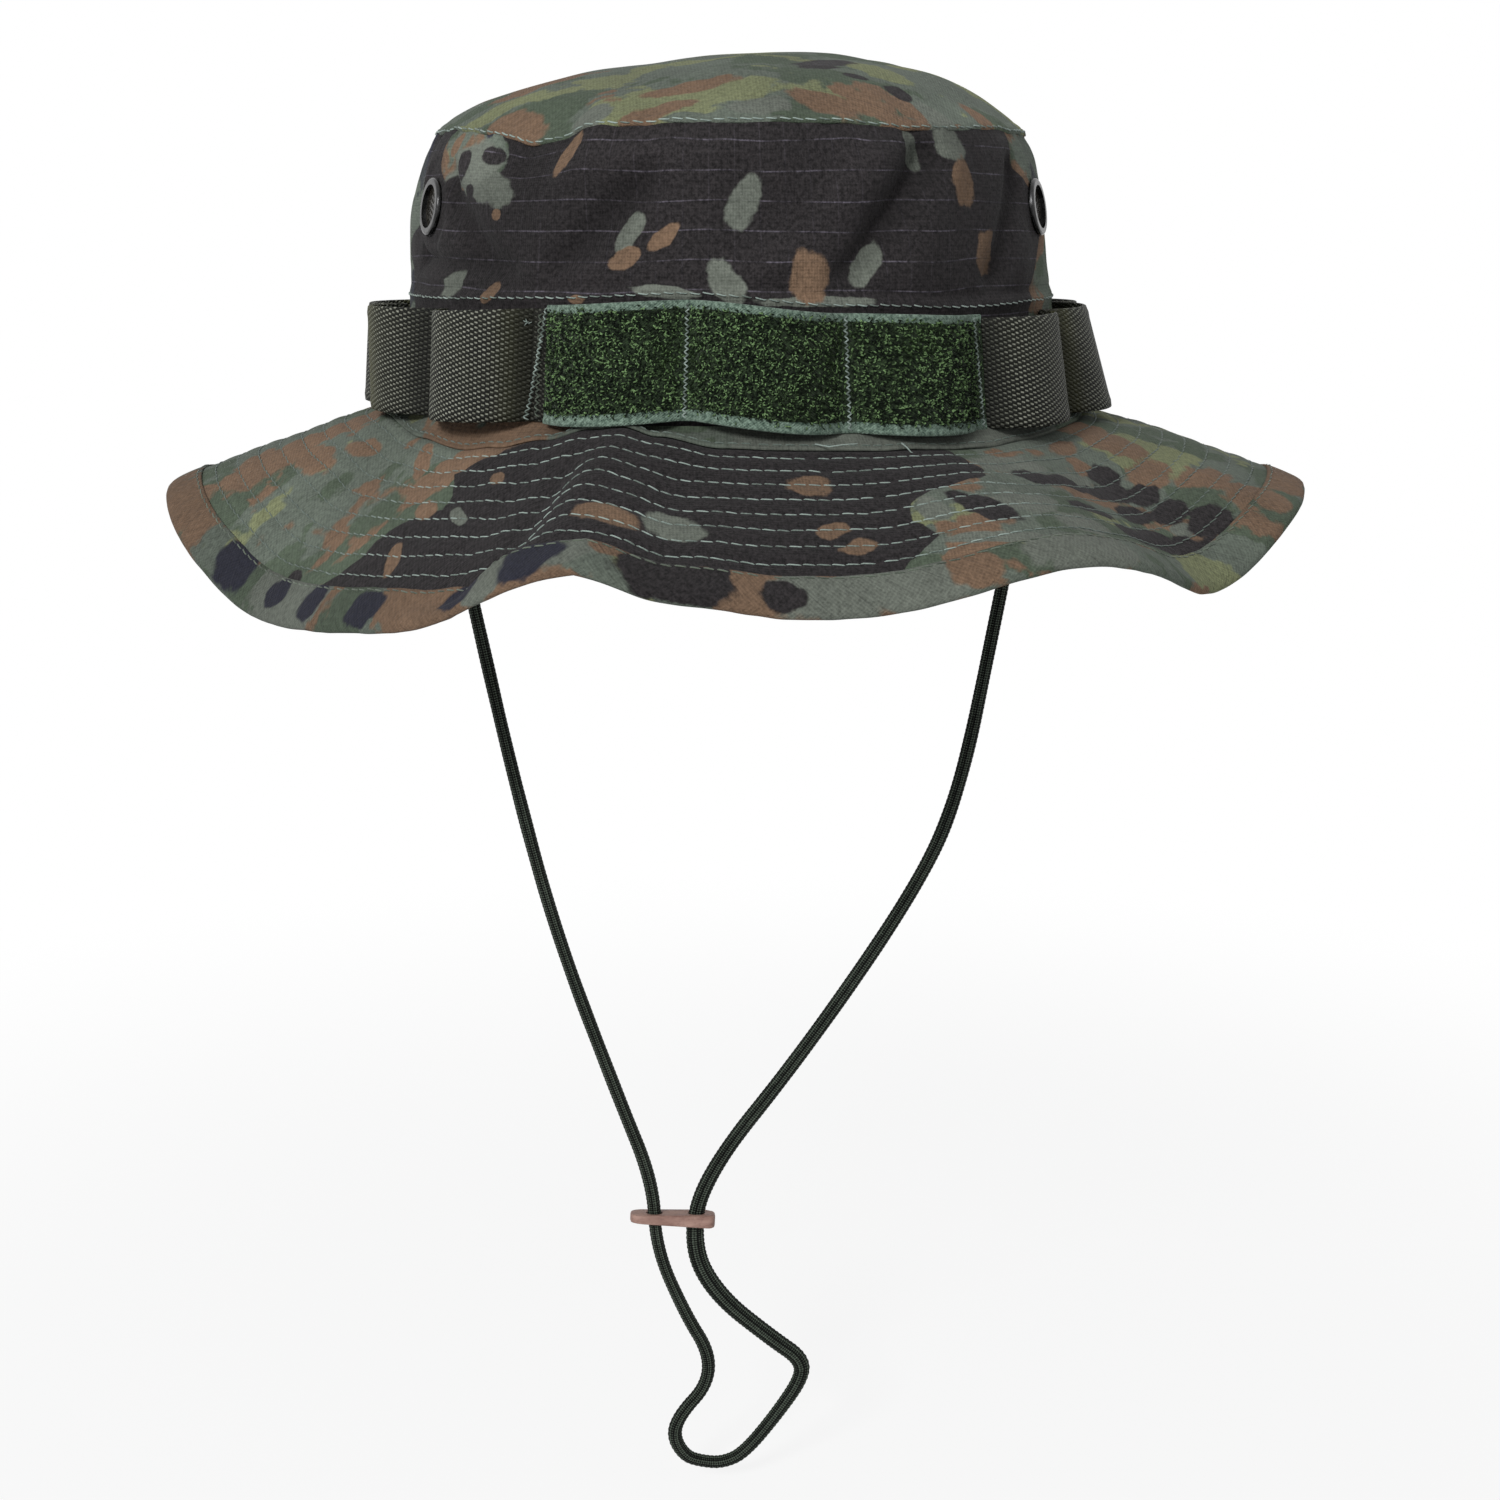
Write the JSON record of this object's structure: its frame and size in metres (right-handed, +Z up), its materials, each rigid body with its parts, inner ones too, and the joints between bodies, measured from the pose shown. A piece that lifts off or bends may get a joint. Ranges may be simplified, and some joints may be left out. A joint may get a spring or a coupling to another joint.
{
  "type": "boonie hat",
  "caption": "Soft wide-brim field hat with a vented crown, loops of webbing round it, a hook-and-loop front panel and an adjustable chin cord.",
  "frame": {"origin": "middle of the head opening, at the level where the crown meets the brim", "axes": "+Z up through the crown, -Y out of the front of the hat, +X to the wearer's left"},
  "size_m": [0.2988, 0.3126, 0.4134],
  "materials": {
    "camouflage_cloth": "matte",
    "binding_cloth": "matte",
    "sweatband_cloth": "matte",
    "nylon_webbing": "satin",
    "loop_pile": "matte",
    "thread": "matte",
    "plaited_nylon": "satin",
    "brown_leather": "satin",
    "black_enamel": "satin",
    "dark_mesh": "satin"
  },
  "bodies": {
    "hat": {"crown_front": "camouflage_cloth", "crown_back": "camouflage_cloth", "crown_top": "camouflage_cloth", "crown_collar": "camouflage_cloth", "brim_upper": "camouflage_cloth", "brim_lower": "camouflage_cloth", "brim_binding": "binding_cloth", "sweatband": "sweatband_cloth", "webbing_band": "nylon_webbing", "loop_tape": "loop_pile", "webbing_tacks": "thread", "tape_tacks": "thread", "vent_eyelet_front_left": "black_enamel", "vent_washer_front_left": "black_enamel", "vent_mesh_front_left": "dark_mesh", "vent_eyelet_front_right": "black_enamel", "vent_washer_front_right": "black_enamel", "vent_mesh_front_right": "dark_mesh", "vent_eyelet_back_left": "black_enamel", "vent_washer_back_left": "black_enamel", "vent_mesh_back_left": "dark_mesh", "vent_eyelet_back_right": "black_enamel", "vent_washer_back_right": "black_enamel", "vent_mesh_back_right": "dark_mesh"},
    "cord": {"chin_cord": "plaited_nylon"},
    "slide": {"cord_slide": "brown_leather"}
  },
  "joints": [
    {"name": "cord_swing", "type": "hinge", "parent": "hat", "child": "cord", "pos_m": [0, 0, -0.001], "axis": [1, 0, 0], "range_deg": [-60, 60]},
    {"name": "slide_travel", "type": "slide", "parent": "cord", "child": "slide", "axis": [0, 0, 1], "range_m": [-0.03, 0.07], "deforming": ["chin_cord"]}
  ]
}
